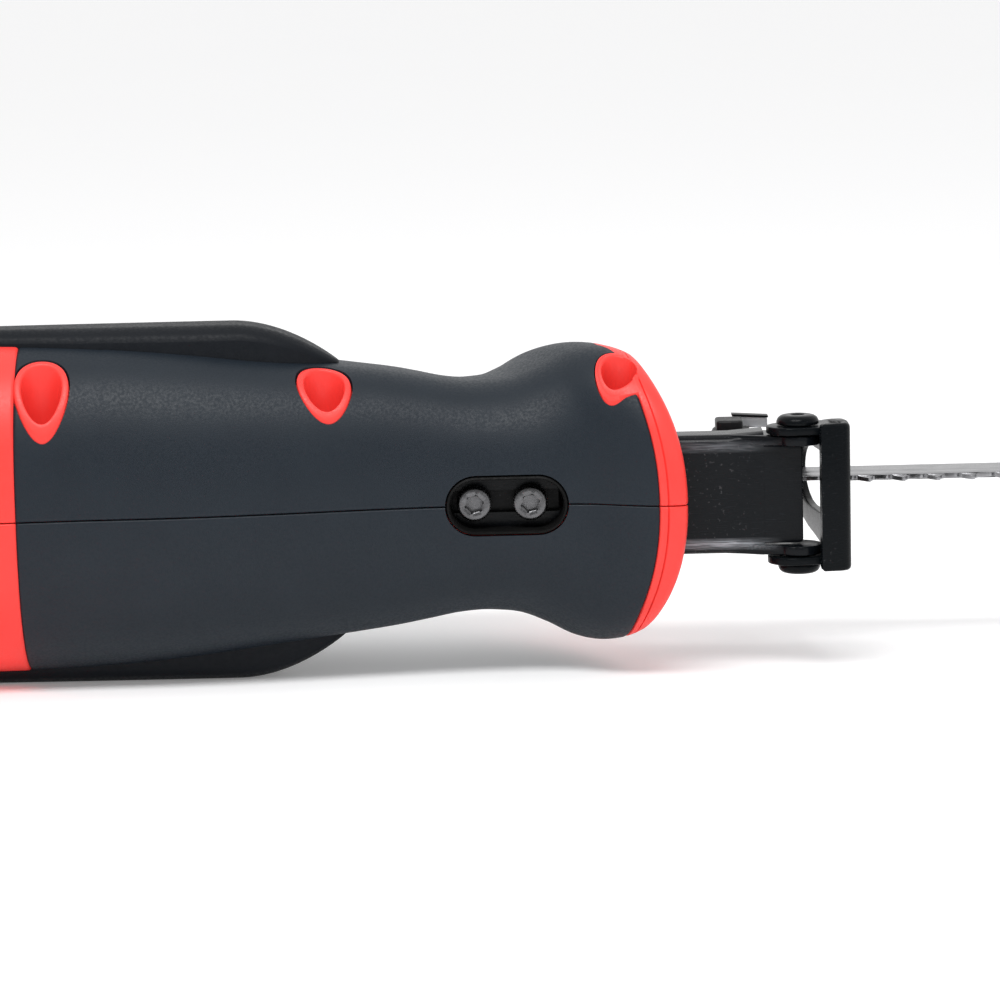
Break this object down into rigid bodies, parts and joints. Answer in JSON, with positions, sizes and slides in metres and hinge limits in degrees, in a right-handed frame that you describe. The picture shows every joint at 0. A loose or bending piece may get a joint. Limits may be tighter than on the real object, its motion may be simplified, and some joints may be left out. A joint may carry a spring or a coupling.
{
  "type": "reciprocating saw",
  "caption": "Corded reciprocating saw with a soft waisted front grip, D-handle, sliding pivoted shoe, quick-release blade clamp and a straight toothed blade.",
  "frame": {"origin": "centre of the footprint when the saw lies on its left side pad, on the surface", "axes": "+X along the blade towards its tip, +Y from the underside of the saw to its top, +Z from its left side to its right"},
  "size_m": [0.5536, 0.1458, 0.092],
  "materials": {
    "red": "moulded, fine satin",
    "soft": "over-moulded, fine matt texture",
    "pad": "over-moulded, matt",
    "paint": "black semi-gloss paint, worn at the edges",
    "black_plastic": "satin",
    "seal": "matt",
    "blackened_steel": "black oxide",
    "steel": "ground",
    "blade": "dark hardened steel with bright tooth tips",
    "alloy": "die cast",
    "copper": "enamelled copper windings",
    "brass": "machined",
    "carbon": "pressed carbon"
  },
  "bodies": {
    "frame": {"cord_clamp": "black_plastic", "cord_gland": "black_plastic", "front_bearing": "steel", "front_bush": "brass", "front_clamp_screw": "blackened_steel", "front_motor_bracket": "alloy", "front_seal": "seal", "gear_axle": "steel", "gear_case": "alloy", "gear_case_cover": "alloy", "housing_screw_1": "steel", "housing_screw_2": "steel", "housing_screw_3": "steel", "housing_screw_4": "steel", "housing_screw_5": "steel", "housing_screw_6": "steel", "housing_screw_7": "steel", "housing_screw_8": "steel", "housing_screw_9": "steel", "left_brush": "carbon", "left_brush_holder": "brass", "left_front_grip": "soft", "left_housing": "red", "left_rear_grip": "soft", "left_side_pad": "pad", "plunger_barrel": "alloy", "rear_bearing": "steel", "rear_bush": "brass", "rear_clamp_screw": "blackened_steel", "rear_motor_bracket": "black_plastic", "right_brush": "carbon", "right_brush_holder": "brass", "right_front_grip": "soft", "right_housing": "red", "right_rear_grip": "soft", "right_side_pad": "pad", "shoe_clamp_plate": "steel", "shoe_support": "alloy", "stator": "steel", "switch_body": "black_plastic"},
    "plunger": {"plunger": "steel", "blade_holder": "steel", "saw_blade": "blade", "clamp_spring": "steel"},
    "release_collar": {"clamp_collar": "black_plastic", "release_arm": "alloy"},
    "rotor": {"armature": "copper", "commutator": "copper", "cooling_fan": "black_plastic", "pinion": "steel"},
    "crank": {"crank_gear": "steel", "crank_pin": "steel", "crank_roller": "steel"},
    "shoe_bar": {"shoe_bar": "paint", "left_shoe_rivet": "paint", "right_shoe_rivet": "paint"},
    "shoe": {"shoe_plate": "paint"},
    "trigger": {"trigger": "black_plastic"},
    "lock_button": {"lock_button": "red"},
    "speed_dial": {"speed_dial": "red"}
  },
  "joints": [
    {"name": "plunger_stroke", "type": "slide", "parent": "frame", "child": "plunger", "axis": [1, 0, 0], "range_m": [-0.028, 0]},
    {"name": "blade_release", "type": "hinge", "parent": "plunger", "child": "release_collar", "pos_m": [0.139, 0.0329, 0.046], "axis": [1, 0, 0], "range_deg": [0, 60], "stiffness_Nm_per_rad": 0.05},
    {"name": "motor_spin", "type": "hinge", "parent": "frame", "child": "rotor", "pos_m": [-0.0842, 0.0149, 0.046], "axis": [1, 0, 0], "continuous": true},
    {"name": "crank_spin", "type": "hinge", "parent": "frame", "child": "crank", "pos_m": [0.0218, 0.023, 0.046], "axis": [0, 1, 0], "continuous": true},
    {"name": "shoe_adjust", "type": "slide", "parent": "frame", "child": "shoe_bar", "axis": [1, 0, 0], "range_m": [-0.006, 0.01]},
    {"name": "shoe_pivot", "type": "hinge", "parent": "shoe_bar", "child": "shoe", "pos_m": [0.1541, 0.0014, 0.046], "axis": [0, 0, 1], "range_deg": [-20, 6]},
    {"name": "trigger_pull", "type": "hinge", "parent": "frame", "child": "trigger", "pos_m": [-0.2342, 0.0249, 0.046], "axis": [0, 0, 1], "range_deg": [-6, 0], "stiffness_Nm_per_rad": 0.5},
    {"name": "lock_press", "type": "slide", "parent": "frame", "child": "lock_button", "axis": [0, 0, 1], "range_m": [0, 0.003], "stiffness_N_per_m": 300},
    {"name": "speed_turn", "type": "hinge", "parent": "frame", "child": "speed_dial", "pos_m": [-0.2002, 0.0599, 0.046], "axis": [0, 0, 1], "range_deg": [-135, 135]}
  ],
  "couplings": [
    {"joint": "crank_spin", "follows": "motor_spin", "ratio": 0.16667}
  ]
}
